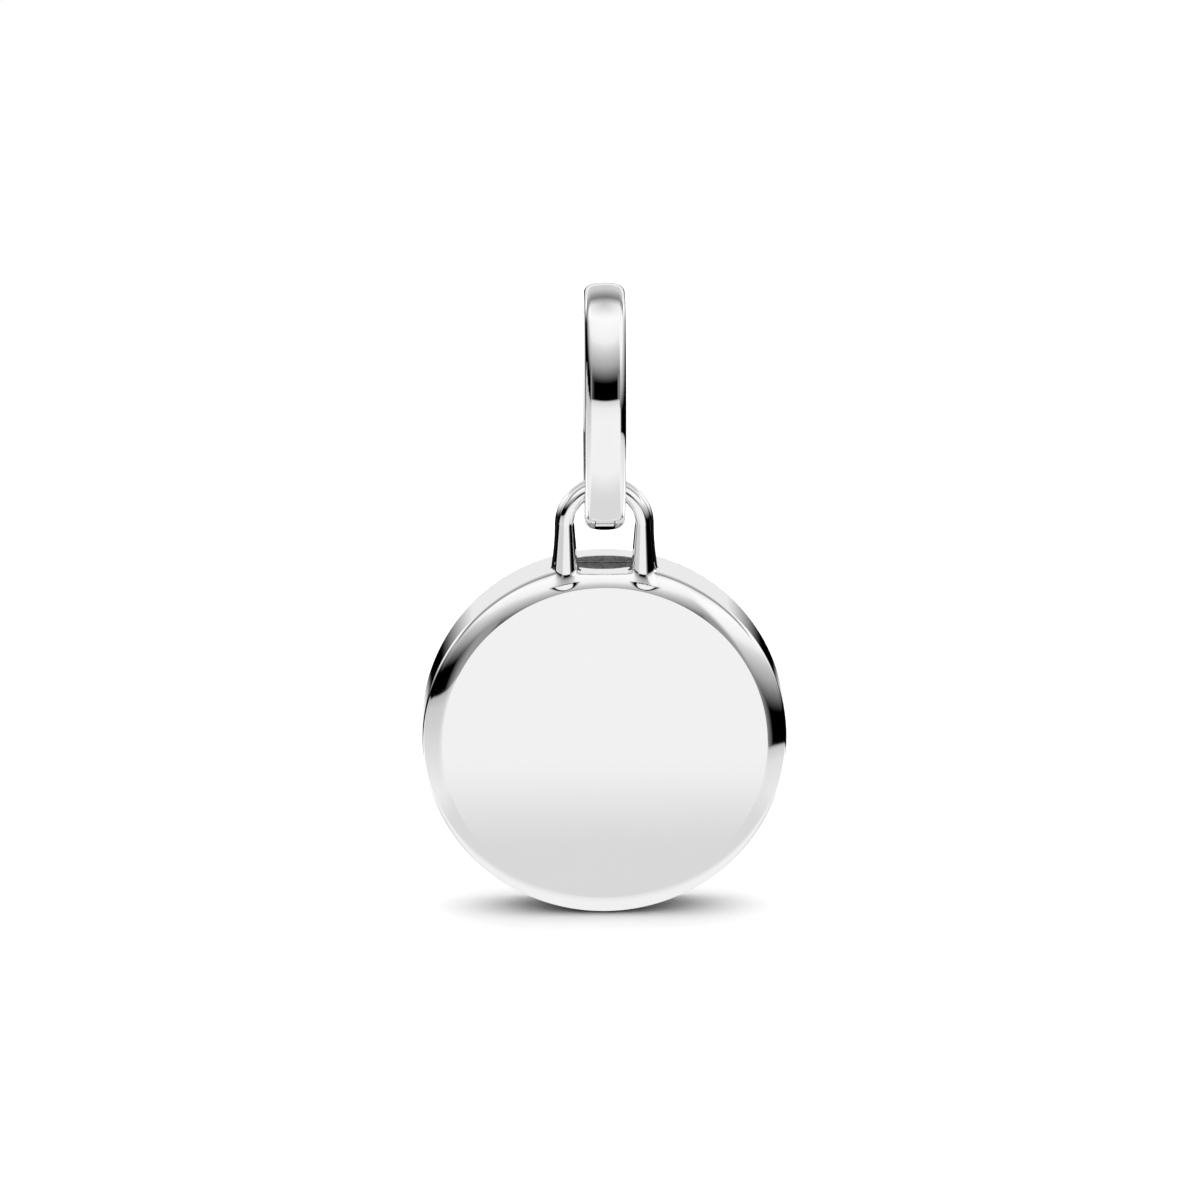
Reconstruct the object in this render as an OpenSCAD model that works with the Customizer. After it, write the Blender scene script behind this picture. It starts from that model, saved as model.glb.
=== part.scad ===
// Medallion charm: a round polished medallion with a cast loop, hanging in an oval bail that opens on a hinge.
// Millimetres. +Z is up, and the smooth back of the medallion faces -Y. The origin is the inside top of the
// bail, where a chain or link carries the charm.

/* [Bail] */
// Height of the bail, outside to outside
bail_h = 9.68; // [8.7:0.01:10.7]
// Width of the band, seen from the front
band_w = 1.56; // [1.4:0.01:1.6]
// Thickness of the band at the middle of its crown
band_t = 1.1; // [1.05:0.01:1.15]
// Outer radius of the two tight ends of the oval
bail_end_r = 2; // [1.9:0.01:2.2]
// Angle at which each long side of the oval turns into its ends, in degrees above the middle
bail_side_angle = 32; // [29:1:35]
// Radius of the rounded outer corners of the band
band_corner_r = 0.52; // [0.45:0.01:0.6]
// Radius of the band's gentle crown
band_crown_r = 2.2; // [1.8:0.1:4]
// Radius of the eased inner edges of the band
band_inner_r = 0.15; // [0.12:0.01:0.2]

/* [Hinge and closure] */
// Angle of the hinge pin in front of straight down, in degrees
pin_angle = 32.5; // [27:0.5:36]
// Distance of the hinge pin from the centre of the bail's lower end
pin_offset = 1.45; // [1.42:0.01:1.46]
// Radius of the hinge pin
pin_r = 0.17; // [0.14:0.01:0.2]
// Outer radius of the cheeks round the pin
cheek_r = 0.53; // [0.5:0.01:0.54]
// Outer radius of the knuckle round the pin
knuckle_r = 0.37; // [0.34:0.01:0.38]
// Width of the gate's knuckle and of its closing tongue
knuckle_w = 0.7; // [0.6:0.01:0.76]
// Angle where the slot for the knuckle ends on the front arm, in degrees in front of straight down
slot_angle = 50; // [48:0.5:54]
// Angle of the closing seam behind straight up, in degrees
seam_angle = 45; // [35:1:50]

/* [Medallion] */
// Diameter of the medallion
disc_d = 14; // [13.6:0.1:15]
// Thickness of the medallion
disc_t = 2.75; // [2.5:0.05:3]
// Width of the bevel and rounded rim, from the flat back face out to the side
edge_w = 0.75; // [0.73:0.01:0.77]
// Depth of the bevel and rounded rim, from the back face to the straight wall
edge_depth = 0.66; // [0.64:0.01:0.68]
// Radius of the rounded rim, in section
rim_r = 0.44; // [0.42:0.01:0.46]
// Radius of the easing on the front edge
front_ease_r = 0.12; // [0.08:0.01:0.2]

/* [Loop] */
// Outer radius of the flange that runs behind the loop's tube
loop_r = 1.9; // [1.88:0.01:1.95]
// Half width of the window at its widest
window_r = 1.17; // [1.14:0.01:1.2]
// Height of the window, from the rim to the underside of the arch
window_h = 2.8; // [2.75:0.01:2.9]
// Radius of the rounded tube round the arch
tube_r = 0.29; // [0.25:0.01:0.3]
// Radius of the tube at the foot of each leg
foot_r = 0.5; // [0.4:0.01:0.52]
// Height of the flange's crown above the underside of the arch
crown_h = 0.58; // [0.56:0.01:0.6]
// Angle at which the flange spreads down each leg, in degrees
foot_spread = 6; // [2:0.5:8]
// Depth of the notch between the legs, down from the top of the rim
notch_depth = 0.27; // [0.2:0.01:0.35]

/* [Hidden] */
$fn = 120;
silver = [0.86, 0.86, 0.87];

// Clearances: a running fit in the knuckle, and the gaps at the hinge and the seam
running_gap = 0.04;
pin_seat_gap = 0.015;
side_gap = 0.04;
barrel_gap = 0.05;
seam_gap = 0.05;
far = 20;

// Places up the centre line
bail_top = band_t;
bail_bottom = bail_top - bail_h;
bail_mid = bail_top - bail_h / 2;
top_end_z = bail_top - bail_end_r;
low_end_z = bail_bottom + bail_end_r;
hang_gap = 0.33;
arch_underside_z = bail_bottom + band_t + hang_gap;
disc_r = disc_d / 2;
rim_z = arch_underside_z - window_h;
disc_z = rim_z - disc_r;
tube_arch_z = arch_underside_z - window_r;
flange_arch_z = arch_underside_z + crown_h - loop_r;

// The oval is four tangent arcs: side_back is how far a side's centre lies past the bail's middle
end_rise = bail_h / 2 - bail_end_r;
side_back = end_rise / tan(bail_side_angle);
bail_side_r = end_rise / sin(bail_side_angle) + bail_end_r;
end_span = 180 - 2 * bail_side_angle;

// Pin's place in the side view, as [y, z]
pin_at = [-pin_offset * sin(pin_angle), low_end_z - pin_offset * cos(pin_angle)];
// The gate's full width starts this far behind the pin, so that its edge has no thin lip
gate_start_angle = pin_angle - 22;
// The tongue runs this far past the seam, in degrees
tongue_angle = 10;

// Depths through the medallion: back_y is the smooth back, front_y is the hidden front
back_y = -0.9;
front_y = back_y + disc_t;

// Radius of the flat back face, and the centre of the rounded rim in section
face_r = disc_r - edge_w;
rim_c = [disc_r - rim_r, back_y + edge_depth];
// The bevel's arc starts at the face's edge and meets the rounded rim in this direction, out and back
arc_turn = [0.6, 0.8];
edge_in = face_r - rim_c[0];
edge_reach = edge_in * arc_turn[0] + edge_depth * arc_turn[1];
bevel_r = rim_r + (pow(edge_in, 2) + pow(edge_depth, 2) - pow(rim_r, 2)) / (2 * (rim_r - edge_reach));
bevel_c = rim_c - (bevel_r - rim_r) * [arc_turn[0], -arc_turn[1]];
bevel_out = rim_c[0] + rim_r * arc_turn[0];

// Depths through the loop: the tube's centre, the outer corner of the flange and its back
tube_y = -0.3;
flange_y = 0.1;
loop_back_y = 0.3;
// The tube's centre line stands this far out, and its legs end this far below the rim
tube_x = window_r + tube_r;
foot_depth = 0.88;

// Turns a side view drawn in X and Y into the Y-Z plane, with its thickness along X
module side_view() {
    rotate([90, 0, 90])
        children();
}

// Turns a front view drawn in X and Y into the X-Z plane, with its thickness from y_from to y_to
module front_view(y_from, y_to) {
    translate([0, y_to, 0])
        rotate([90, 0, 0])
            linear_extrude(y_to - y_from)
                children();
}

// Moves by whole hundredths and then by the rest, so that the arcs of the oval meet exactly
module place(v) {
    step = 0.01;
    whole = [for (c = v) step * round(c / step)];
    translate(whole)
        translate(v - whole)
            children();
}

// Section of the band: depth below the crown along -X, width along Y
module band_section() {
    crown_half = (band_w / 2 - band_corner_r) * band_crown_r / (band_crown_r - band_corner_r);
    corner_y = band_w / 2 - band_corner_r;
    corner_x = sqrt(pow(band_crown_r - band_corner_r, 2) - pow(corner_y, 2)) - band_crown_r;
    ease_x = band_inner_r - band_t;
    ease_y = band_w / 2 - band_inner_r;
    intersection() {
        translate([-band_crown_r, 0])
            circle(band_crown_r);
        translate([corner_x, -crown_half])
            square([band_crown_r, 2 * crown_half]);
    }
    for (side = [-1, 1]) {
        translate([corner_x, side * corner_y])
            circle(band_corner_r);
        translate([ease_x, side * ease_y])
            circle(band_inner_r);
    }
    translate([ease_x, -band_w / 2])
        square([corner_x - ease_x, band_w]);
    translate([-band_t, -ease_y])
        square([2 * band_inner_r, 2 * ease_y]);
}

// One arc of the oval, drawn in the side view
module band_arc(centre, r, from, span) {
    place([centre[0], centre[1], 0])
        rotate_extrude(angle = span, start = from)
            place([r, 0])
                band_section();
}

// The whole oval band
module oval_band() {
    side_view() {
        band_arc([0, top_end_z], bail_end_r, bail_side_angle, end_span);
        band_arc([0, low_end_z], bail_end_r, 180 + bail_side_angle, end_span);
        band_arc([-side_back, bail_mid], bail_side_r, -bail_side_angle, 2 * bail_side_angle);
        band_arc([side_back, bail_mid], bail_side_r, 180 - bail_side_angle, 2 * bail_side_angle);
    }
}

// A prism across the bail, drawn in the side view and centred on the band's width
module across(w) {
    side_view()
        linear_extrude(w, center = true)
            children();
}

// Everything in the side view behind a line at the hinge and a line at the seam
module behind(hinge_angle, top_angle) {
    polygon([
        [0, top_end_z],
        [far * sin(top_angle), top_end_z + far * cos(top_angle)],
        [far, -far],
        [-far * sin(hinge_angle), low_end_z - far * cos(hinge_angle)],
        [0, low_end_z]
    ]);
}

// A round region about the hinge pin, in the side view
module about_pin(r) {
    translate(pin_at)
        circle(r);
}

// All of the side view but what is drawn
module all_but() {
    difference() {
        square(2 * far, center = true);
        children();
    }
}

// Prisms over the band's width on either side of its middle strip
module across_edges(strip_w) {
    for (side = [-1, 1])
        translate([side * (strip_w / 2 + band_w / 2), 0, 0])
            across(band_w)
                children();
}

// Front arm and top of the bail, with the two cheeks at its foot
module bail() {
    slot_w = knuckle_w + 2 * side_gap;
    color(silver)
        difference() {
            oval_band();
            across_edges(slot_w)
                difference() {
                    behind(pin_angle, seam_angle);
                    about_pin(cheek_r);
                }
            across(slot_w)
                behind(slot_angle, seam_angle - tongue_angle);
            across(2 * band_w)
                about_pin(pin_r + pin_seat_gap);
        }
}

// Back arm of the bail, which opens about the pin: a knuckle at its foot, a closing tongue at its free end
module bail_gate() {
    gap_angle = seam_gap / bail_end_r * 180 / PI;
    color(silver)
        difference() {
            oval_band();
            across_edges(knuckle_w) {
                all_but()
                    behind(gate_start_angle, seam_angle + gap_angle);
                about_pin(cheek_r + barrel_gap);
            }
            across(knuckle_w)
                all_but() {
                    behind(gate_start_angle, seam_angle - tongue_angle + gap_angle);
                    knuckle();
                }
            across(2 * band_w)
                about_pin(pin_r + running_gap);
        }
}

// The knuckle round the pin, and the web that joins it to the gate
module knuckle() {
    about_pin(knuckle_r);
    polygon([
        [0, low_end_z],
        [pin_at[0], pin_at[1] + knuckle_r],
        pin_at,
        [pin_at[0], pin_at[1] - knuckle_r],
        [0, bail_bottom]
    ]);
}

// Hinge pin, its ends following the band's rounded sides
module hinge_pin() {
    color(silver)
        intersection() {
            across(2 * band_w)
                about_pin(pin_r);
            oval_band();
        }
}

// Half section of the medallion: radius along X, depth along Y
module disc_section() {
    translate([0, back_y])
        square([face_r, disc_t]);
    intersection() {
        translate(bevel_c)
            circle(bevel_r);
        translate([face_r, back_y])
            square([bevel_out - face_r, disc_t]);
    }
    intersection() {
        translate(rim_c)
            circle(rim_r);
        translate([bevel_out, back_y])
            square([disc_r - bevel_out, edge_depth]);
    }
    translate([0, rim_c[1]])
        square([disc_r, front_y - front_ease_r - rim_c[1]]);
    translate([0, front_y - 2 * front_ease_r])
        square([disc_r - front_ease_r, 2 * front_ease_r]);
    translate([disc_r - front_ease_r, front_y - front_ease_r])
        circle(front_ease_r);
}

// The round body, standing on edge
module disc() {
    translate([0, 0, disc_z])
        rotate([-90, 0, 0])
            rotate_extrude()
                disc_section();
}

// Half section of the flange, from inside the window outward: its front slopes back to a thin edge
module flange_section() {
    inner = window_r - 0.27;
    polygon([
        [inner, tube_y],
        [window_r + 2 * tube_r, tube_y],
        [loop_r, flange_y],
        [loop_r, loop_back_y],
        [inner, loop_back_y]
    ]);
}

// Flat flange behind the tube, opened by the window
module flange() {
    window_gap = 0.02;
    edge_r = window_r + window_gap;
    foot_half = tube_x - foot_r + window_gap;
    foot_z = rim_z - foot_depth;
    leg_h = flange_arch_z - foot_z;
    leg_overlap = 0.2;
    leg_out = 0.01;
    difference() {
        union() {
            translate([0, 0, flange_arch_z])
                rotate([-90, 0, 0])
                    rotate([0, 0, 180])
                        rotate_extrude(angle = 180)
                            flange_section();
            for (side = [0, 1])
                mirror([side, 0, 0])
                    translate([loop_r + leg_out, 0, flange_arch_z])
                        rotate([0, -foot_spread, 0])
                            translate([-loop_r, 0, -leg_h])
                                linear_extrude(leg_h + leg_overlap)
                                    flange_section();
        }
        front_view(-disc_t, disc_t) {
            translate([0, tube_arch_z])
                circle(edge_r);
            polygon([
                [-edge_r, tube_arch_z],
                [edge_r, tube_arch_z],
                [foot_half, foot_z - 1],
                [-foot_half, foot_z - 1]
            ]);
        }
    }
}

// Rounded tube that runs over the arch and swells down each leg into the bevel
module tube() {
    leg_h = tube_arch_z - rim_z + foot_depth;
    translate([0, tube_y, tube_arch_z])
        rotate([90, 0, 0])
            rotate_extrude(angle = 180)
                translate([tube_x, 0])
                    circle(tube_r);
    for (side = [-1, 1])
        translate([side * tube_x, tube_y, tube_arch_z - leg_h])
            cylinder(h = leg_h, r1 = foot_r, r2 = tube_r);
}

// The unpolished notch in the rim, between the legs
module notch() {
    wall_y = 0.85;
    mouth_y = back_y - 0.2;
    notch_w = 2 * (tube_x - foot_r) + 0.3;
    translate([-notch_w / 2, mouth_y, rim_z - notch_depth])
        cube([notch_w, wall_y - mouth_y, notch_depth + 0.2]);
}

// The medallion and its loop, one cast solid
module medallion() {
    color(silver)
        union() {
            difference() {
                disc();
                notch();
            }
            flange();
            tube();
        }
}

medallion();
bail();
bail_gate();
hinge_pin();
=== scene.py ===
"""Medallion charm: polished metal, seen hanging just above a pale floor.

Lengths in the shape code are millimetres in the row frame (+Z up, -Y out of the smooth back).
"""

import math

import bmesh
import bpy
import numpy as np
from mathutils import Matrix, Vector


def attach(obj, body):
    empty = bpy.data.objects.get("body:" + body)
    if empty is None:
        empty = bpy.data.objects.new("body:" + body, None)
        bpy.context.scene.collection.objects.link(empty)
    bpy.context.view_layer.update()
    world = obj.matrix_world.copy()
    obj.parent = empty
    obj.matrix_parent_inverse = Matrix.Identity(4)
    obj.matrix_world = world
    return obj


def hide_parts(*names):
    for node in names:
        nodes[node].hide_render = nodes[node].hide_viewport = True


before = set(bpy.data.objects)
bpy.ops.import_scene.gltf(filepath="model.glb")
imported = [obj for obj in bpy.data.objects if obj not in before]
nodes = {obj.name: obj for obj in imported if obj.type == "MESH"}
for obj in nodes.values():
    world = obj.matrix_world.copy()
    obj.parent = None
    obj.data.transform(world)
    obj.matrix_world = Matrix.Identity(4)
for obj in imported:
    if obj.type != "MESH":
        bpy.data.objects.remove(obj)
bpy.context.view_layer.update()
MM = 0.001


# Sizes of the bail, the same as the solids but for the crisper corners of its band

BAIL_H = 9.68
BAND_W = 1.56
BAND_T = 1.1
END_R = 2.0
SIDE_ANGLE = math.radians(32)
CORNER_R = 0.34
CROWN_R = 2.2
INNER_R = 0.15
PIN_ANGLE = math.radians(32.5)
PIN_OFFSET = 1.45
PIN_R = 0.17
PIN_SEAT_GAP = 0.015
PIN_RUNNING_GAP = 0.04
CHEEK_R = 0.53
KNUCKLE_R = 0.37
KNUCKLE_W = 0.7
SLOT_ANGLE = math.radians(50)
SEAM_ANGLE = math.radians(45)
TONGUE_ANGLE = math.radians(10)
GATE_START_ANGLE = math.radians(10.5)
SIDE_GAP = 0.04
BARREL_GAP = 0.05
SEAM_GAP = 0.05

BAIL_BOTTOM = BAND_T - BAIL_H
BAIL_MID = BAND_T - BAIL_H / 2
TOP_END_Z = BAND_T - END_R
LOW_END_Z = BAIL_BOTTOM + END_R
END_RISE = BAIL_H / 2 - END_R
SIDE_BACK = END_RISE / math.tan(SIDE_ANGLE)
SIDE_R = END_RISE / math.sin(SIDE_ANGLE) + END_R
END_HALF = math.pi / 2 - SIDE_ANGLE
PIN_Y = -PIN_OFFSET * math.sin(PIN_ANGLE)
PIN_Z = LOW_END_Z - PIN_OFFSET * math.cos(PIN_ANGLE)
CORNER_X = BAND_W / 2 - CORNER_R
CORNER_U = math.sqrt((CROWN_R - CORNER_R) ** 2 - CORNER_X**2) - CROWN_R
HALF_CROWN = math.atan2(CORNER_X, CORNER_U + CROWN_R)
EASE_X = BAND_W / 2 - INNER_R
EASE_U = INNER_R - BAND_T


# Sizes of the medallion, the same as the solids

DISC_R = 7.0
DISC_T = 2.75
BACK_Y = -0.9
FRONT_Y = BACK_Y + DISC_T
FACE_R = 6.25
RIM_R = 0.44
RIM_Y = -0.24
ARC_TURN = (0.6, 0.8)
EASE_R = 0.12
LOOP_R = 1.9
WINDOW_R = 1.17
WINDOW_H = 2.8
HANG_GAP = 0.33
TUBE_R = 0.29
FOOT_R = 0.5
FOOT_DEPTH = 0.88
CROWN_H = 0.58
NOTCH_DEPTH = 0.27
NOTCH_WALL_Y = 0.85
NOTCH_REACH = 0.15
TUBE_Y = -0.3
FLANGE_Y = 0.1
FLANGE_INSET = 0.02
LOOP_BACK_Y = 0.3

ARCH_UNDER_Z = BAIL_BOTTOM + BAND_T + HANG_GAP
RIM_Z = ARCH_UNDER_Z - WINDOW_H
DISC_Z = RIM_Z - DISC_R
TUBE_X = WINDOW_R + TUBE_R
TUBE_ARCH_Z = ARCH_UNDER_Z - WINDOW_R
FLANGE_ARCH_Z = ARCH_UNDER_Z + CROWN_H - LOOP_R
FOOT_Z = RIM_Z - FOOT_DEPTH
FOOT_SLOPE = (FOOT_R - TUBE_R) / (TUBE_ARCH_Z - FOOT_Z)
RIM_X = DISC_R - RIM_R
EDGE_IN = FACE_R - RIM_X
EDGE_DEPTH = RIM_Y - BACK_Y
EDGE_REACH = EDGE_IN * ARC_TURN[0] + EDGE_DEPTH * ARC_TURN[1]
BEVEL_R = RIM_R + (EDGE_IN**2 + EDGE_DEPTH**2 - RIM_R**2) / (2 * (RIM_R - EDGE_REACH))
BEVEL_X = RIM_X - (BEVEL_R - RIM_R) * ARC_TURN[0]
BEVEL_Y = RIM_Y + (BEVEL_R - RIM_R) * ARC_TURN[1]
BEVEL_SLOPE = math.asin((FACE_R - BEVEL_X) / BEVEL_R)
RIM_SLOPE = math.atan2(RIM_X - BEVEL_X, BEVEL_Y - RIM_Y)


# Easings and fillets that the scene adds to the medallion, and the flange's flare

FLANGE_EASE = 0.12
FLANGE_CREASE = 0.05
FLANGE_FILLET = 0.08
FLANGE_FLARE = 0.05
NOTCH_EASE = 0.04
LEG_FILLET_TOP = 0.1
LEG_FILLET_FOOT = 0.36
LEG_FILLET_GROWTH = 0.35
FACE_FADE = 0.3
FACE_SHARE = 0.03


# Meshes in millimetres


def new_mesh_object(name, points, faces):
    """A mesh object from points in millimetres."""
    mesh = bpy.data.meshes.new(name)
    mesh.from_pydata([tuple(p) for p in np.asarray(points) * MM], [], faces)
    mesh.update()
    obj = bpy.data.objects.new(name, mesh)
    bpy.context.scene.collection.objects.link(obj)
    return obj


def points_of(mesh):
    """The mesh's points, in millimetres."""
    co = np.empty(len(mesh.vertices) * 3)
    mesh.vertices.foreach_get("co", co)
    return co.reshape(-1, 3) / MM


def set_points(mesh, points):
    """Moves the mesh's points to places in millimetres."""
    mesh.vertices.foreach_set("co", (points * MM).ravel())
    mesh.update()


def apply_modifiers(obj):
    """Bakes the object's modifiers into its mesh."""
    graph = bpy.context.evaluated_depsgraph_get()
    mesh = bpy.data.meshes.new_from_object(obj.evaluated_get(graph))
    obj.modifiers.clear()
    obj.data = mesh


# Distance fields: negative inside the metal


def smooth_min(a, b, k):
    """The union of two fields, with a fillet about k wide."""
    h = np.maximum(k - np.abs(a - b), 0) / k
    return np.minimum(a, b) - h * h * k / 4


def smooth_max(a, b, k):
    """The overlap of two fields, with an edge rounded about k wide."""
    return -smooth_min(-a, -b, k)


def round_box(u, v, r):
    """Distance to a quarter plane u < 0, v < 0 whose corner has radius r."""
    qu = u + r
    qv = v + r
    outside = np.hypot(np.maximum(qu, 0), np.maximum(qv, 0))
    return outside + np.minimum(np.maximum(qu, qv), 0) - r


def disc_field(x, y, z):
    """Round body: flat face, rounded bevel and rim, straight wall, flat front with an eased edge."""
    r = np.hypot(x, z - DISC_Z)
    face = BACK_Y - y
    bevel = np.maximum(face, np.hypot(r - BEVEL_X, y - BEVEL_Y) - BEVEL_R)
    rim = np.hypot(r - RIM_X, y - RIM_Y) - RIM_R
    on_rim = np.arctan2(r - RIM_X, RIM_Y - y) > RIM_SLOPE
    back = np.where(r < BEVEL_X, face, np.where(on_rim, rim, bevel))
    front = round_box(r - DISC_R, y - FRONT_Y, EASE_R)
    return np.where(y < RIM_Y, back, front)


def tube_field(x, y, z):
    """Rounded tube that runs over the arch and swells down each leg."""
    arch = np.hypot(np.hypot(x, z - TUBE_ARCH_Z) - TUBE_X, y - TUBE_Y) - TUBE_R
    leg = np.hypot(np.abs(x) - TUBE_X, y - TUBE_Y) - TUBE_R - FOOT_SLOPE * (TUBE_ARCH_Z - z)
    leg = np.maximum(leg, FOOT_Z - z)
    return np.where(z > TUBE_ARCH_Z, arch, leg)


def flange_field(x, y, z):
    """Flange behind the tube: its front slopes back to a thin edge, and the window opens it."""
    below = np.maximum(FLANGE_ARCH_Z - z, 0)
    above = np.maximum(z - FLANGE_ARCH_Z, 0)
    out = np.hypot(x, above) - FLANGE_FLARE * below**2
    inward = WINDOW_R + FLANGE_INSET - FOOT_SLOPE * np.maximum(TUBE_ARCH_Z - z, 0)
    window = inward - np.hypot(x, np.maximum(z - TUBE_ARCH_Z, 0))
    slope_run = LOOP_R - (WINDOW_R + 2 * TUBE_R)
    slope_depth = FLANGE_Y - TUBE_Y
    slope = (out - LOOP_R) * slope_depth - (y - FLANGE_Y) * slope_run
    slope = slope / math.hypot(slope_run, slope_depth)
    field = smooth_max(out - LOOP_R, y - LOOP_BACK_Y, FLANGE_EASE)
    field = smooth_max(field, slope, FLANGE_CREASE)
    field = smooth_max(field, TUBE_Y - y, FLANGE_CREASE)
    field = smooth_max(field, window, FLANGE_EASE)
    return np.maximum(field, FOOT_Z - z)


def notch_field(x, y, z):
    """The unpolished notch in the rim, between the legs."""
    half = TUBE_X - FOOT_R + NOTCH_REACH
    walls = np.maximum(np.abs(x) - half, y - NOTCH_WALL_Y)
    return np.maximum(walls, RIM_Z - NOTCH_DEPTH - z)


def leg_fillet(x, z):
    """How wide the legs' fillet is: it grows down the legs and nearly ends at the face's edge."""
    width = LEG_FILLET_TOP - LEG_FILLET_GROWTH * (z - RIM_Z)
    width = np.clip(width, LEG_FILLET_TOP, LEG_FILLET_FOOT)
    beyond_face = (np.hypot(x, z - DISC_Z) - FACE_R) / FACE_FADE
    return width * np.clip(beyond_face, FACE_SHARE, 1)


def medallion_field(x, y, z):
    """The medallion and its loop, one cast solid."""
    disc = smooth_max(disc_field(x, y, z), -notch_field(x, y, z), NOTCH_EASE)
    body = smooth_min(disc, flange_field(x, y, z), FLANGE_FILLET)
    return smooth_min(body, tube_field(x, y, z), leg_fillet(x, z))


def band_depth(y, z):
    """How far a point of the side view lies outside the oval, which is four tangent arcs."""
    top = np.hypot(y, z - TOP_END_Z) - END_R
    low = np.hypot(y, z - LOW_END_Z) - END_R
    side = np.hypot(np.abs(y) + SIDE_BACK, z - BAIL_MID) - SIDE_R
    in_top = (z > TOP_END_Z) & (np.arctan2(np.abs(y), z - TOP_END_Z) < END_HALF)
    in_low = (z < LOW_END_Z) & (np.arctan2(np.abs(y), LOW_END_Z - z) < END_HALF)
    return np.where(in_top, top, np.where(in_low, low, side))


def band_field(x, y, z):
    """The oval band, with its crown, rounded corners and eased inner edges."""
    u = band_depth(y, z)
    x = np.abs(x)
    crown = np.hypot(x, u + CROWN_R) - CROWN_R
    corner = np.hypot(x - CORNER_X, u - CORNER_U) - CORNER_R
    inner = round_box(x - BAND_W / 2, -BAND_T - u, INNER_R)
    on_crown = np.arctan2(x, u + CROWN_R) < HALF_CROWN
    return np.where(u < CORNER_U, inner, np.where(on_crown, crown, corner))


def gradient(field, p, step=0.002):
    """Gradient of a field at the points."""
    g = np.empty_like(p)
    for axis in range(3):
        ahead = p.copy()
        behind = p.copy()
        ahead[:, axis] += step
        behind[:, axis] -= step
        g[:, axis] = (field(*ahead.T) - field(*behind.T)) / (2 * step)
    return g


def onto_field(field, p, rounds=8, least_square=0.2):
    """Moves points onto the surface of a field, by short steps where its gradient is weak."""
    for _ in range(rounds):
        g = gradient(field, p)
        d = field(*p.T)
        p = p - g * (d / np.maximum((g * g).sum(1), least_square))[:, None]
    return p


def unit(v):
    """The vectors at length one."""
    return v / np.maximum(np.linalg.norm(v, axis=1), 1e-9)[:, None]


# The medallion's mesh

VOXEL = 0.064
CREASE_REACH = 0.55 * VOXEL
HAIR = 1e-4
SAME = 1e-6
JOIN_METRES = 1e-7
FINE_DROP = 1.3
FINE_HALF_W = 2.7
FRONT_MARGIN = 0.02


def copy_of_node(node, name):
    """A new object with a copy of a solid's mesh, its points joined."""
    source = nodes[node]
    obj = bpy.data.objects.new(name, source.data.copy())
    bpy.context.scene.collection.objects.link(obj)
    obj.data.materials.clear()
    bm = bmesh.new()
    bm.from_mesh(obj.data)
    bmesh.ops.remove_doubles(bm, verts=bm.verts, dist=JOIN_METRES)
    bm.to_mesh(obj.data)
    bm.free()
    return obj


def refine(obj, wanted):
    """Splits the faces whose centres are wanted into four."""
    bm = bmesh.new()
    bm.from_mesh(obj.data)
    centres = np.array([f.calc_center_median() for f in bm.faces]) / MM
    keep = wanted(centres)
    edges = set()
    for face, k in zip(bm.faces, keep):
        if k:
            edges.update(face.edges)
    bmesh.ops.subdivide_edges(bm, edges=list(edges), cuts=1, use_grid_fill=True)
    bm.to_mesh(obj.data)
    bm.free()


def near_loop(p):
    """Points of the loop and of the rim round its feet."""
    return (p[:, 2] > RIM_Z - FINE_DROP) & (np.abs(p[:, 0]) < FINE_HALF_W)


def disc_radius(p):
    """How far the points are from the round body's axis."""
    return np.hypot(p[:, 0], p[:, 2] - DISC_Z)


def on_rim_metal(p):
    """Points whose nearest surface is the round body's own, clear of the legs' fillets."""
    return np.abs(medallion_field(*p.T) - disc_field(*p.T)) < SAME


def to_crease(p):
    """Moves the points beside the face's edge onto it, so that the edge is a crisp line."""
    r = disc_radius(p)
    near = (np.abs(r - FACE_R) < CREASE_REACH) & (np.abs(p[:, 1] - BACK_Y) < VOXEL)
    near &= on_rim_metal(p)
    k = FACE_R / r[near]
    p = p.copy()
    p[near, 0] *= k
    p[near, 1] = BACK_Y
    p[near, 2] = DISC_Z + (p[near, 2] - DISC_Z) * k
    return p, near


def on_face(p):
    """Points of the flat back face, clear of its edge."""
    return (disc_radius(p) < FACE_R - HAIR) & (np.abs(p[:, 1] - BACK_Y) < VOXEL)


def flatten_plane(obj, y, reach):
    """Dissolves the round body's flat faces at a depth y, within a radius, into one."""
    bm = bmesh.new()
    bm.from_mesh(obj.data)
    p = np.array([v.co for v in bm.verts]) / MM
    flat = (np.abs(p[:, 1] - y) < HAIR) & (disc_radius(p) < reach)
    bm.verts.ensure_lookup_table()
    faces = [f for f in bm.faces if all(flat[v.index] for v in f.verts)]
    bmesh.ops.dissolve_faces(bm, faces=faces, use_verts=True)
    bm.to_mesh(obj.data)
    bm.free()


def medallion_normals(mesh):
    """Exact normals, with two at each point of the face's edge: the face's and the bevel's."""
    points, on_edge = to_crease(points_of(mesh))
    normals = unit(gradient(medallion_field, points))
    normals[on_face(points)] = (0, -1, 0)
    out = unit((points - [0, 0, DISC_Z]) * [1, 0, 1])
    bevel = out * math.sin(BEVEL_SLOPE) + np.array([0, -math.cos(BEVEL_SLOPE), 0])
    corners = []
    for face in mesh.polygons:
        c = np.array(face.center) / MM
        outside = math.hypot(c[0], c[2] - DISC_Z) > FACE_R
        for v in face.vertices:
            if not on_edge[v]:
                corners.append(tuple(normals[v]))
            elif outside:
                corners.append(tuple(bevel[v]))
            else:
                corners.append((0, -1, 0))
    mesh.polygons.foreach_set("use_smooth", np.ones(len(mesh.polygons), bool))
    mesh.normals_split_custom_set(corners)


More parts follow.
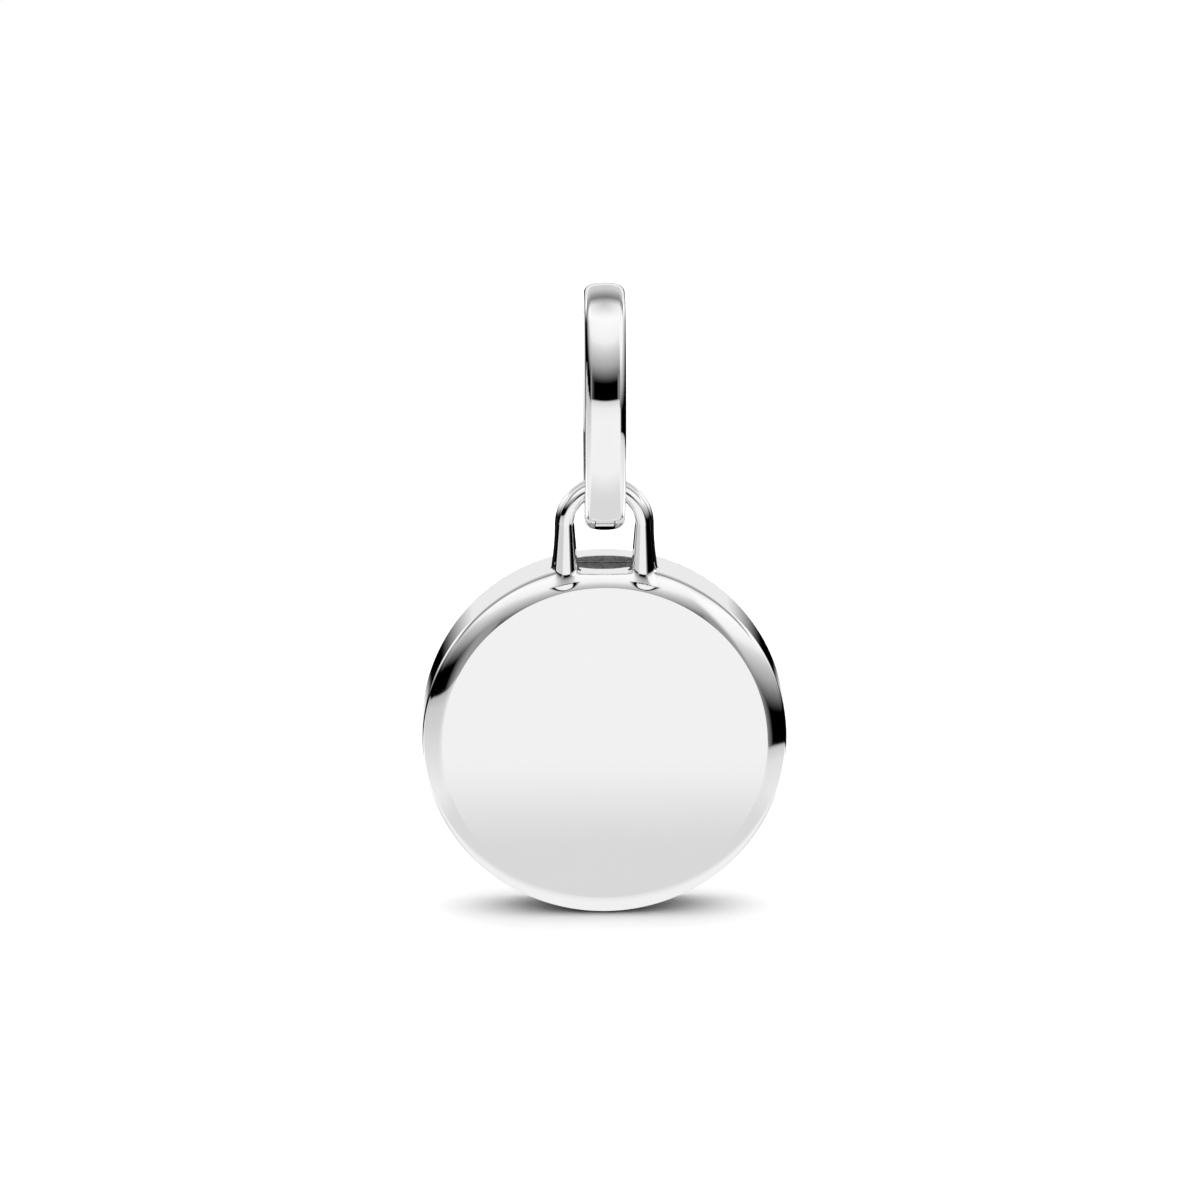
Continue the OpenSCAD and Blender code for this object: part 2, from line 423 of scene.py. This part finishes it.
def make_medallion():
    """The solid's mesh, made even and fine, then moved onto the medallion's field."""
    obj = copy_of_node("medallion", "medallion_polished")
    remesh = obj.modifiers.new("voxels", "REMESH")
    remesh.mode = "VOXEL"
    remesh.voxel_size = VOXEL * MM
    apply_modifiers(obj)
    refine(obj, near_loop)
    points, _ = to_crease(onto_field(medallion_field, points_of(obj.data)))
    points[on_face(points), 1] = BACK_Y
    set_points(obj.data, points)
    flatten_plane(obj, BACK_Y, FACE_R + HAIR)
    flatten_plane(obj, FRONT_Y, DISC_R - EASE_R - FRONT_MARGIN)
    medallion_normals(obj.data)
    return obj


# The bail's meshes: the band is swept round the oval, then cut as the solids are

STATION_STEP = 0.06
CROWN_STEPS = 14
WALL_STEPS = 4
EASE_STEPS = 5
INNER_STEPS = 10
PIN_SIDES = 96
FAR = 20.0
ON_SURFACE = 0.002
BAND_AGREES = 0.9
PIN_AGREES = 0.98
# How far the middle cuts reach into the side cuts, so that no sheet is left between them
OVERLAP = 0.001
# How far one cutter stands past another, so that no two share a plane
PROUD = 0.1


def arc_points(centre, radius, start, end, steps):
    """Points of an arc, without its last one. Angles run from the first axis to the second."""
    t = start + (end - start) * np.arange(steps) / steps
    return np.column_stack([centre[0] + radius * np.cos(t), centre[1] + radius * np.sin(t)])


def line_points(start, end, steps):
    """Points of a straight line, without its last one."""
    return np.column_stack([np.linspace(a, b, steps + 1)[:-1] for a, b in zip(start, end)])


def band_section():
    """The band's section as (height over the crown, width) points, once round."""
    right = math.pi / 2
    side = BAND_W / 2
    wall = line_points((CORNER_U, side), (EASE_U, side), WALL_STEPS)
    parts = [
        arc_points((-CROWN_R, 0), CROWN_R, -HALF_CROWN, HALF_CROWN, CROWN_STEPS),
        arc_points((CORNER_U, CORNER_X), CORNER_R, HALF_CROWN, right, CROWN_STEPS),
        wall,
        arc_points((EASE_U, EASE_X), INNER_R, right, math.pi, EASE_STEPS),
        line_points((-BAND_T, EASE_X), (-BAND_T, -EASE_X), INNER_STEPS),
        arc_points((EASE_U, -EASE_X), INNER_R, math.pi, 1.5 * math.pi, EASE_STEPS),
        wall[::-1] * [1, -1],
        arc_points((CORNER_U, -CORNER_X), CORNER_R, -right, -HALF_CROWN, CROWN_STEPS),
    ]
    return np.vstack(parts)


def oval_stations():
    """Points of the bail's outer oval in the side view, with their outward normals, once round."""
    stations = []
    arcs = (
        ((0, TOP_END_Z), END_R, SIDE_ANGLE, math.pi - SIDE_ANGLE),
        ((SIDE_BACK, BAIL_MID), SIDE_R, math.pi - SIDE_ANGLE, math.pi + SIDE_ANGLE),
        ((0, LOW_END_Z), END_R, math.pi + SIDE_ANGLE, 2 * math.pi - SIDE_ANGLE),
        ((-SIDE_BACK, BAIL_MID), SIDE_R, -SIDE_ANGLE, SIDE_ANGLE),
    )
    for centre, radius, start, end in arcs:
        steps = round(radius * (end - start) / STATION_STEP)
        t = start + (end - start) * np.arange(steps) / steps
        normal = np.column_stack([np.cos(t), np.sin(t)])
        stations.append(np.hstack([np.array(centre) + radius * normal, normal]))
    return np.vstack(stations)


def oval_band(name):
    """The whole oval band, closed."""
    section = band_section()
    rows = oval_stations()
    n_rows = len(rows)
    n_cols = len(section)
    place = rows[:, None, :2] + rows[:, None, 2:] * section[None, :, :1]
    width = np.broadcast_to(section[None, :, 1:], (n_rows, n_cols, 1))
    points = np.concatenate([width, place], axis=2).reshape(-1, 3)
    faces = []
    for i in range(n_rows):
        j = (i + 1) % n_rows
        for k in range(n_cols):
            m = (k + 1) % n_cols
            faces.append((i * n_cols + k, i * n_cols + m, j * n_cols + m, j * n_cols + k))
    return new_mesh_object(name, points, faces)


def prism(outline, x_from, x_to):
    """A prism across the bail over an outline of (y, z) points."""
    n = len(outline)
    points = [(x_from, *p) for p in outline] + [(x_to, *p) for p in outline]
    faces = [tuple(range(n)), tuple(range(2 * n - 1, n - 1, -1))]
    for i in range(n):
        j = (i + 1) % n
        faces.append((i, i + n, j + n, j))
    obj = new_mesh_object("cutter", points, faces)
    bm = bmesh.new()
    bm.from_mesh(obj.data)
    bmesh.ops.recalc_face_normals(bm, faces=bm.faces)
    bm.to_mesh(obj.data)
    bm.free()
    return obj


def boolean(obj, other, operation):
    """Changes obj by another object, which is used up."""
    step = obj.modifiers.new("cut", "BOOLEAN")
    step.operation = operation
    step.solver = "MANIFOLD"
    step.object = other
    apply_modifiers(obj)
    bpy.data.objects.remove(other)


def behind(hinge_angle, top_angle):
    """All of the side view behind a line at the hinge and a line at the seam."""
    return [
        (0, TOP_END_Z),
        (FAR * math.sin(top_angle), TOP_END_Z + FAR * math.cos(top_angle)),
        (FAR, -FAR),
        (-FAR * math.sin(hinge_angle), LOW_END_Z - FAR * math.cos(hinge_angle)),
        (0, LOW_END_Z),
    ]


def everything():
    """All of the side view."""
    return [(-FAR, -FAR), (FAR, -FAR), (FAR, FAR), (-FAR, FAR)]


def about_pin(radius):
    """A circle about the hinge pin in the side view."""
    return [tuple(p) for p in arc_points((PIN_Y, PIN_Z), radius, 0, 2 * math.pi, PIN_SIDES)]


def knuckle_web():
    """What joins the knuckle to the gate, in the side view."""
    return [
        (0, LOW_END_Z),
        (PIN_Y, PIN_Z + KNUCKLE_R),
        (PIN_Y, PIN_Z - KNUCKLE_R),
        (0, BAIL_BOTTOM),
    ]


def edge_prisms(outline, strip_w):
    """Prisms over the band's width on either side of its middle strip."""
    for side in (-1, 1):
        ends = sorted((side * strip_w / 2, side * (strip_w / 2 + BAND_W)))
        yield prism(outline, *ends)


def band_normals(obj):
    """Exact normals where a face lies on the swept band or about the pin, and flat ones on cuts."""
    mesh = obj.data
    points = points_of(mesh)
    exact = unit(gradient(band_field, points))
    on_band = np.abs(band_field(*points.T)) < ON_SURFACE
    from_pin = points * [0, 1, 1] - [0, PIN_Y, PIN_Z]
    pin_distance = np.linalg.norm(from_pin, axis=1)
    pin_radii = (PIN_R, PIN_R + PIN_SEAT_GAP, PIN_R + PIN_RUNNING_GAP)
    radii = np.array([*pin_radii, KNUCKLE_R, CHEEK_R, CHEEK_R + BARREL_GAP])
    on_pin = np.abs(pin_distance[:, None] - radii).min(1) < ON_SURFACE
    radial = unit(from_pin)
    normals = []
    for face in mesh.polygons:
        flat = np.array(face.normal)
        for v in face.vertices:
            if on_band[v] and exact[v] @ flat > BAND_AGREES:
                normals.append(tuple(exact[v]))
            elif on_pin[v] and abs(radial[v] @ flat) > PIN_AGREES:
                normals.append(tuple(radial[v] * np.sign(radial[v] @ flat)))
            else:
                normals.append(tuple(flat))
    mesh.polygons.foreach_set("use_smooth", np.ones(len(mesh.polygons), bool))
    mesh.normals_split_custom_set(normals)


def make_bail():
    """Front arm and top of the bail, with the two cheeks at its foot."""
    obj = oval_band("bail_polished")
    slot_w = KNUCKLE_W + 2 * SIDE_GAP
    for cutter in edge_prisms(behind(PIN_ANGLE, SEAM_ANGLE), slot_w):
        boolean(cutter, prism(about_pin(CHEEK_R), -BAND_W, BAND_W), "DIFFERENCE")
        boolean(obj, cutter, "DIFFERENCE")
    tongue = behind(SLOT_ANGLE, SEAM_ANGLE - TONGUE_ANGLE)
    half = slot_w / 2 + OVERLAP
    boolean(obj, prism(tongue, -half, half), "DIFFERENCE")
    hole = about_pin(PIN_R + PIN_SEAT_GAP)
    boolean(obj, prism(hole, -BAND_W, BAND_W), "DIFFERENCE")
    band_normals(obj)
    return obj


def trim_gate_sides(obj, gap):
    """Cuts the band's two sides away in front of the hinge and the seam, and clear of the cheeks."""
    sides = behind(GATE_START_ANGLE, SEAM_ANGLE + gap)
    cutters = edge_prisms(everything(), KNUCKLE_W)
    for cutter, kept in zip(cutters, edge_prisms(sides, KNUCKLE_W - PROUD)):
        boolean(cutter, kept, "DIFFERENCE")
        boolean(obj, cutter, "DIFFERENCE")
    for cutter in edge_prisms(about_pin(CHEEK_R + BARREL_GAP), KNUCKLE_W):
        boolean(obj, cutter, "DIFFERENCE")


def trim_gate_middle(obj, gap):
    """Cuts the band's middle strip down to the gate, its tongue, the web and the knuckle."""
    half = KNUCKLE_W / 2 + OVERLAP
    middle = prism(everything(), -half, half)
    tongue = behind(GATE_START_ANGLE, SEAM_ANGLE - TONGUE_ANGLE + gap)
    kept = prism(tongue, -BAND_W, BAND_W)
    boolean(kept, prism(knuckle_web(), -BAND_W - PROUD, BAND_W + PROUD), "UNION")
    knuckle = prism(about_pin(KNUCKLE_R), -BAND_W - 2 * PROUD, BAND_W + 2 * PROUD)
    boolean(kept, knuckle, "UNION")
    boolean(middle, kept, "DIFFERENCE")
    boolean(obj, middle, "DIFFERENCE")


def make_gate():
    """Back arm of the bail, with the knuckle at its foot and the closing tongue at its free end."""
    obj = oval_band("gate_polished")
    gap = SEAM_GAP / END_R
    trim_gate_sides(obj, gap)
    trim_gate_middle(obj, gap)
    hole = about_pin(PIN_R + PIN_RUNNING_GAP)
    boolean(obj, prism(hole, -BAND_W, BAND_W), "DIFFERENCE")
    band_normals(obj)
    return obj


def make_pin():
    """Hinge pin, its ends following the band's rounded sides."""
    obj = prism(about_pin(PIN_R), -BAND_W, BAND_W)
    obj.name = "pin_polished"
    boolean(obj, oval_band("band"), "INTERSECT")
    band_normals(obj)
    return obj


medallion = make_medallion()
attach(medallion, "pendant")
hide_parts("medallion")

bail = make_bail()
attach(bail, "bail")
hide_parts("bail")

gate = make_gate()
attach(gate, "gate")
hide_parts("bail_gate")

pin = make_pin()
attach(pin, "bail")
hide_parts("hinge_pin")


# Materials


class Nodes:
    """A small helper that adds and joins shader nodes in one tree."""

    def __init__(self, tree):
        self.tree = tree

    def add(self, kind, **settings):
        node = self.tree.nodes.new(kind)
        for key, value in settings.items():
            setattr(node, key, value)
        return node

    def feed(self, socket, value):
        """Sets the socket to a value, or links it to another node's output."""
        if isinstance(value, bpy.types.NodeSocket):
            self.tree.links.new(value, socket)
        else:
            socket.default_value = value

    def math(self, operation, *values, clamp=False):
        node = self.add("ShaderNodeMath", operation=operation, use_clamp=clamp)
        for socket, value in zip(node.inputs, values):
            self.feed(socket, value)
        return node.outputs[0]

    def map(self, value, from_lo, from_hi, to_lo, to_hi, shape="LINEAR"):
        node = self.add("ShaderNodeMapRange", interpolation_type=shape)
        for socket, v in zip(node.inputs, (value, from_lo, from_hi, to_lo, to_hi)):
            self.feed(socket, v)
        return node.outputs[0]

    def rise(self, value, start, end):
        """0 before start, 1 beyond end, with a soft turn at both."""
        return self.map(value, start, end, 0, 1, "SMOOTHSTEP")

    def mix(self, factor, a, b):
        """a where factor is 0, b where it is 1."""
        return self.math("ADD", self.math("MULTIPLY", self.math("SUBTRACT", b, a), factor), a)

    def ramp(self, value, stops):
        node = self.add("ShaderNodeValToRGB")
        elements = node.color_ramp.elements
        while len(elements) > 1:
            elements.remove(elements[0])
        elements[0].position = stops[0][0]
        elements[0].color = (stops[0][1],) * 3 + (1,)
        for position, level in stops[1:]:
            elements.new(position).color = (level,) * 3 + (1,)
        self.feed(node.inputs[0], value)
        return node.outputs[0]

    def noise(self, vector, scale, detail, roughness=0.5):
        node = self.add("ShaderNodeTexNoise")
        self.feed(node.inputs["Vector"], vector)
        node.inputs["Scale"].default_value = scale
        node.inputs["Detail"].default_value = detail
        node.inputs["Roughness"].default_value = roughness
        return node.outputs["Fac"]

    def bump(self, height, distance, normal=None):
        node = self.add("ShaderNodeBump")
        node.inputs["Strength"].default_value = 1.0
        node.inputs["Distance"].default_value = distance
        self.feed(node.inputs["Height"], height)
        if normal is not None:
            self.feed(node.inputs["Normal"], normal)
        return node.outputs["Normal"]

    def mix_shaders(self, factor, a, b):
        """Shader a where factor is 0, b where it is 1."""
        node = self.add("ShaderNodeMixShader")
        for socket, value in zip(node.inputs, (factor, a, b)):
            self.feed(socket, value)
        return node.outputs[0]


def new_material(name):
    """A material, its node helper and its shader."""
    material = bpy.data.materials.new(name)
    material.use_nodes = True
    shader = material.node_tree.nodes["Principled BSDF"]
    return material, Nodes(material.node_tree), shader


# Silver: noise scales are per metre, depths are in metres

SEED_STEPS = (0.013, 0.007, 0.011)
EDGE_TINT = (0.92, 0.92, 0.925, 1)
CLOUD_SCALE = 420
WAVE_SCALE = 330
WAVE_DEPTH = 1.2e-6
SCRATCH_SCALE = 26000
SCRATCH_DEPTH = 1.5e-8
SCRATCH_LENGTHS = (1, 1, 0.06)
SCRATCH_TURN = (0.3, 0.5, 0.9)
GRAIN_SCALE = 9000
GRAIN_DEPTH = 2.5e-5
GRAIN_LEVELS = ((0.3, 0.14), (0.7, 0.42))


def moved_place(graph, seed):
    """Object coordinates, moved by the seed so that no two pieces have the same pattern."""
    moved = graph.add("ShaderNodeVectorMath", operation="ADD")
    graph.feed(moved.inputs[0], graph.add("ShaderNodeTexCoord").outputs["Object"])
    moved.inputs[1].default_value = tuple(seed * step for step in SEED_STEPS)
    return moved.outputs[0]


def silver_tone(graph, cloud, base):
    """Silver, a touch darker where the cloud is thin."""
    tone = graph.add("ShaderNodeMix", data_type="RGBA")
    tone.inputs[6].default_value = (base * 0.985, base * 0.985, base * 0.99, 1)
    tone.inputs[7].default_value = (base, base, base * 1.006, 1)
    graph.feed(tone.inputs[0], cloud)
    return tone.outputs[2]


def polish_relief(graph, place):
    """Hairline polishing scratches over faint waves."""
    stretch = graph.add("ShaderNodeMapping")
    stretch.inputs["Scale"].default_value = SCRATCH_LENGTHS
    stretch.inputs["Rotation"].default_value = SCRATCH_TURN
    graph.feed(stretch.inputs["Vector"], place)
    scratches = graph.bump(graph.noise(stretch.outputs[0], SCRATCH_SCALE, 1), SCRATCH_DEPTH)
    return graph.bump(graph.noise(place, WAVE_SCALE, 1), WAVE_DEPTH, normal=scratches)


def polished_silver(name, base, roughness, seed):
    """Mirror-polished silver: faint waviness, hairline polishing scratches, cloudy gloss."""
    material, graph, shader = new_material(name)
    place = moved_place(graph, seed)
    cloud = graph.noise(place, CLOUD_SCALE, 3)
    gloss = graph.map(cloud, 0.3, 0.7, roughness * 0.7, roughness * 1.4)
    shader.inputs["Metallic"].default_value = 1
    shader.inputs["Specular Tint"].default_value = EDGE_TINT
    graph.feed(shader.inputs["Base Color"], silver_tone(graph, cloud, base))
    graph.feed(shader.inputs["Roughness"], gloss)
    graph.feed(shader.inputs["Normal"], polish_relief(graph, place))
    return material


def cast_silver(name):
    """Unpolished silver of the notch's back wall: darker, grainy and matt."""
    material, graph, shader = new_material(name)
    place = graph.add("ShaderNodeTexCoord").outputs["Object"]
    grain = graph.noise(place, GRAIN_SCALE, 4, 0.7)
    shader.inputs["Metallic"].default_value = 1
    graph.feed(shader.inputs["Base Color"], graph.ramp(grain, GRAIN_LEVELS))
    graph.feed(shader.inputs["Roughness"], graph.map(grain, 0.3, 0.7, 0.3, 0.5))
    graph.feed(shader.inputs["Normal"], graph.bump(grain, GRAIN_DEPTH))
    return material


def paint(piece, *materials):
    """Gives a piece its materials."""
    piece.data.materials.clear()
    for material in materials:
        piece.data.materials.append(material)


def paint_notch(piece, tolerance=0.03):
    """Gives the notch's back wall the piece's second material."""
    centres = np.array([f.center for f in piece.data.polygons]) / MM
    in_notch = np.abs(notch_field(*centres.T)) < tolerance
    in_notch &= np.abs(centres[:, 1] - NOTCH_WALL_Y) < tolerance
    piece.data.polygons.foreach_set("material_index", in_notch.astype(np.int32))


medallion_silver = polished_silver("medallion_silver", 0.895, 0.035, 1)
bail_silver = polished_silver("bail_silver", 0.895, 0.03, 5)
gate_silver = polished_silver("gate_silver", 0.895, 0.03, 9)
pin_silver = polished_silver("pin_silver", 0.86, 0.08, 13)

paint(medallion, medallion_silver, cast_silver("notch_silver"))
paint(bail, bail_silver)
paint(gate, gate_silver)
paint(pin, pin_silver)
paint(nodes["medallion"], medallion_silver)
paint(nodes["bail"], bail_silver)
paint(nodes["bail_gate"], gate_silver)
paint(nodes["hinge_pin"], pin_silver)
paint_notch(medallion)


# Floor. Its glow in reflections is set by the metres in front of or behind the charm, and aside; a
# band of painted shade dims that glow a little way in front of and behind the charm

FLOOR_GAP = 0.04
FLOOR_R = 90.0
FLOOR_SIDES = 48
FLOOR_Z = DISC_Z - DISC_R - FLOOR_GAP
# Painted shade in reflections: between these distances, in metres in front of or behind the charm, the
# floor's glow dims to a grey level
PAINTED_SHADE_STARTS = (0.0009, 0.0018)
PAINTED_SHADE_FADES = (0.0085, 0.021)
GLOW_ENDS = (0.009, 0.014)
GLOW_LEVEL = 0.99
PAINTED_SHADE_LEVEL = 0.775


def make_floor():
    """Round pale floor under the charm."""
    points = [(0, 0, FLOOR_Z)]
    for i in range(FLOOR_SIDES):
        t = 2 * math.pi * i / FLOOR_SIDES
        points.append((FLOOR_R * math.cos(t), FLOOR_R * math.sin(t), FLOOR_Z))
    faces = [(0, 1 + i, 1 + (i + 1) % FLOOR_SIDES) for i in range(FLOOR_SIDES)]
    floor = new_mesh_object("floor", points, faces)
    return floor


def floor_glow(graph, ahead, diffuse_depth):
    """The floor in reflections: a glow, bright under the charm and far off, greyer in between as
    painted shade.
    """
    # Painted shade: near and far mark where the glow dims to grey a little way from the charm
    near = graph.rise(ahead, *PAINTED_SHADE_STARTS)
    far = graph.map(ahead, *PAINTED_SHADE_FADES, 1, 0, "SMOOTHSTEP")
    level = graph.map(graph.math("MULTIPLY", near, far), 0, 1, GLOW_LEVEL, PAINTED_SHADE_LEVEL)
    first = graph.math("SUBTRACT", 1.0, diffuse_depth, clamp=True)
    glow = graph.add("ShaderNodeEmission")
    graph.feed(glow.inputs["Color"], (1, 1, 1, 1))
    graph.feed(glow.inputs["Strength"], graph.math("MULTIPLY", first, level))
    return glow.outputs[0]


def pale_floor(name):
    """Matt white floor that glows in reflections, with painted shade near the charm there, ends at the
    sides there, and is clear from below.
    """
    material, graph, shader = new_material(name)
    tree = material.node_tree
    tree.nodes.remove(shader)
    matt = graph.add("ShaderNodeBsdfDiffuse")
    matt.inputs["Color"].default_value = (0.92, 0.92, 0.925, 1)
    place = graph.add("ShaderNodeSeparateXYZ")
    graph.feed(place.inputs[0], graph.add("ShaderNodeTexCoord").outputs["Object"])
    ahead = graph.math("ABSOLUTE", place.outputs[1])
    aside = graph.math("ABSOLUTE", place.outputs[0])
    path = graph.add("ShaderNodeLightPath")
    clear = graph.add("ShaderNodeBsdfTransparent").outputs[0]
    below = graph.add("ShaderNodeNewGeometry").outputs["Backfacing"]
    glow = floor_glow(graph, ahead, path.outputs["Diffuse Depth"])
    mirrored = graph.mix_shaders(graph.rise(aside, *GLOW_ENDS), glow, clear)
    above = graph.mix_shaders(path.outputs["Is Camera Ray"], mirrored, matt.outputs[0])
    surface = graph.mix_shaders(below, above, clear)
    graph.feed(tree.nodes["Material Output"].inputs["Surface"], surface)
    return material


# Studio. Its light depends on the direction: +X to the right, +Y behind the charm, +Z up

# (degrees above the horizon, level) of the light all round, and of what dims it at the sides
LIGHT_LEVELS = (
    (-90, 1.0),
    (-14, 1.0),
    (-8, 0.97),
    (-5, 0.94),
    (-2, 0.8),
    (-0.8, 0.74),
    (-0.3, 0.0),
    (10.3, 0.0),
    (12, 0.05),
    (16, 0.22),
    (20, 0.41),
    (27, 0.64),
    (31, 0.8),
    (34, 0.96),
    (38, 1.02),
    (50, 1.1),
    (62, 1.0),
    (76, 0.8),
    (90, 0.62),
)
SIDE_LEVELS = ((-90, 1.0), (-45, 1.0), (-32, 0.95), (-20, 0.82), (-11, 0.72), (0, 0.7), (8, 1.0))
RIGHT_SHARE = 0.4
# How far the dark band at the horizon sinks to the left, to the right and behind, in degrees
SINK_LEFT = 2.5
SINK_RIGHT = 19
SINK_BEHIND = 20
# Where the left, the right and the back begin and are full, on the direction's x and y
LEFT_REACH = (-0.5, -0.72)
RIGHT_REACH = (0.5, 0.66)
BACK_REACH = (0.3, 0.8)
BACK_GAIN = 2.4
BACK_LIMIT = 0.96
NO_LIMIT = 2.0
# The dim upper part of the back, on the direction's y and z
UPPER_Y = (0.0, 0.3)
UPPER_Z = (0.315, 0.37)
UPPER_LEVEL = 0.27
# Two bands, left and right of the front, that are never fully dark, on the direction's x
HAZE_STARTS = (0.4, 0.48)
HAZE_FADES = (0.6, 0.76)
HAZE_LEVEL = 0.34
# The soft box that lights the floor, on the direction's z
SOFT_BOX = (0.3, 0.95, 0.6, 2.1)


def by_degrees(stops):
    """Ramp stops from (degrees above the horizon, level) pairs."""
    return [((degrees + 90) / 180, level) for degrees, level in stops]


def ramp_position(graph, z, left, right, back):
    """Where a direction lies on the ramps, moved up by as much as the dark band sinks there."""
    sink = graph.math("MULTIPLY", left, math.radians(SINK_LEFT))
    sink = graph.math("ADD", sink, graph.math("MULTIPLY", right, math.radians(SINK_RIGHT)))
    sink = graph.mix(back, sink, math.radians(SINK_BEHIND))
    height = graph.math("ARCSINE", graph.math("MINIMUM", z, 0.9999))
    height = graph.math("ADD", height, sink)
    return graph.map(height, -math.pi / 2, math.pi / 2, 0, 1)


def dim_sides(graph, light, position, left, right):
    """Dims the light low at the left, and less at the right."""
    dimmer = graph.ramp(position, by_degrees(SIDE_LEVELS))
    sides = graph.math("ADD", left, graph.math("MULTIPLY", right, RIGHT_SHARE))
    return graph.math("MULTIPLY", light, graph.mix(sides, 1.0, dimmer))


def light_back(graph, light, back, y, z):
    """Brightens the back up to a limit, and dims its upper part."""
    light = graph.math("MULTIPLY", light, graph.mix(back, 1.0, BACK_GAIN))
    upper = graph.math("MULTIPLY", graph.map(y, *UPPER_Y, 0, 1), graph.map(z, *UPPER_Z, 0, 1))
    light = graph.math("MULTIPLY", light, graph.mix(upper, 1.0, UPPER_LEVEL))
    return graph.math("MINIMUM", light, graph.mix(back, NO_LIMIT, BACK_LIMIT))


def add_haze(graph, light, back, x):
    """Keeps the two bands left and right of the front from being fully dark."""
    aside = graph.math("ABSOLUTE", x)
    starts = graph.map(aside, *HAZE_STARTS, 0, 1)
    haze = graph.math("MULTIPLY", starts, graph.map(aside, *HAZE_FADES, 1, 0))
    haze = graph.math("MULTIPLY", haze, graph.math("SUBTRACT", 1.0, back))
    return graph.math("MAXIMUM", light, graph.math("MULTIPLY", haze, HAZE_LEVEL))


def studio():
    """White to the camera. Reflections see a light ceiling, a dark band and light below it."""
    world = bpy.data.worlds.new("studio")
    bpy.context.scene.world = world
    world.use_nodes = True
    graph = Nodes(world.node_tree)
    background = world.node_tree.nodes["Background"]
    axes = graph.add("ShaderNodeSeparateXYZ")
    graph.feed(axes.inputs[0], graph.add("ShaderNodeTexCoord").outputs["Generated"])
    x, y, z = axes.outputs
    left = graph.rise(x, *LEFT_REACH)
    right = graph.rise(x, *RIGHT_REACH)
    back = graph.rise(y, *BACK_REACH)
    position = ramp_position(graph, z, left, right, back)
    light = graph.ramp(position, by_degrees(LIGHT_LEVELS))
    light = dim_sides(graph, light, position, left, right)
    light = light_back(graph, light, back, y, z)
    light = add_haze(graph, light, back, x)
    soft_box = graph.map(z, *SOFT_BOX, "SMOOTHSTEP")
    path = graph.add("ShaderNodeLightPath")
    bounced = graph.math("MINIMUM", path.outputs["Diffuse Depth"], 1.0)
    level = graph.mix(bounced, light, soft_box)
    level = graph.math("MAXIMUM", level, path.outputs["Is Camera Ray"])
    background.inputs["Color"].default_value = (1, 1, 1, 1)
    graph.feed(background.inputs["Strength"], level)


paint(make_floor(), pale_floor("floor_white"))
studio()


# Camera. The disc's centre is a little right of the picture's and well below it

CAMERA_AZIMUTH = math.radians(-1.2)
CAMERA_ELEVATION = math.radians(17.5)
CAMERA_DISTANCE = 450.0
PIXELS_PER_MM = 26.0
VIEW_WIDTH = 1200 / PIXELS_PER_MM
DISC_RIGHT = 4.3 / PIXELS_PER_MM
DISC_DOWN = 134.5 / PIXELS_PER_MM
DISC_AIM_Y = 0.2
SENSOR_WIDTH = 36


def make_camera():
    """The camera, at the photograph's viewing angle."""
    data = bpy.data.cameras.new("camera")
    camera = bpy.data.objects.new("camera", data)
    bpy.context.scene.collection.objects.link(camera)
    a, e = CAMERA_AZIMUTH, CAMERA_ELEVATION
    back = Vector((math.sin(a) * math.cos(e), -math.cos(a) * math.cos(e), math.sin(e)))
    right = Vector((math.cos(a), math.sin(a), 0))
    up = back.cross(right)
    disc = Vector((0, DISC_AIM_Y, DISC_Z))
    aim = disc + up * DISC_DOWN - right * DISC_RIGHT
    camera.location = (aim + back * CAMERA_DISTANCE) * MM
    camera.rotation_mode = "QUATERNION"
    camera.rotation_quaternion = back.to_track_quat("Z", "Y")
    data.sensor_width = SENSOR_WIDTH
    data.lens = CAMERA_DISTANCE / VIEW_WIDTH * SENSOR_WIDTH
    data.clip_start = 0.05
    data.clip_end = 20
    bpy.context.scene.camera = camera


make_camera()
bpy.context.scene.view_settings.view_transform = "Standard"
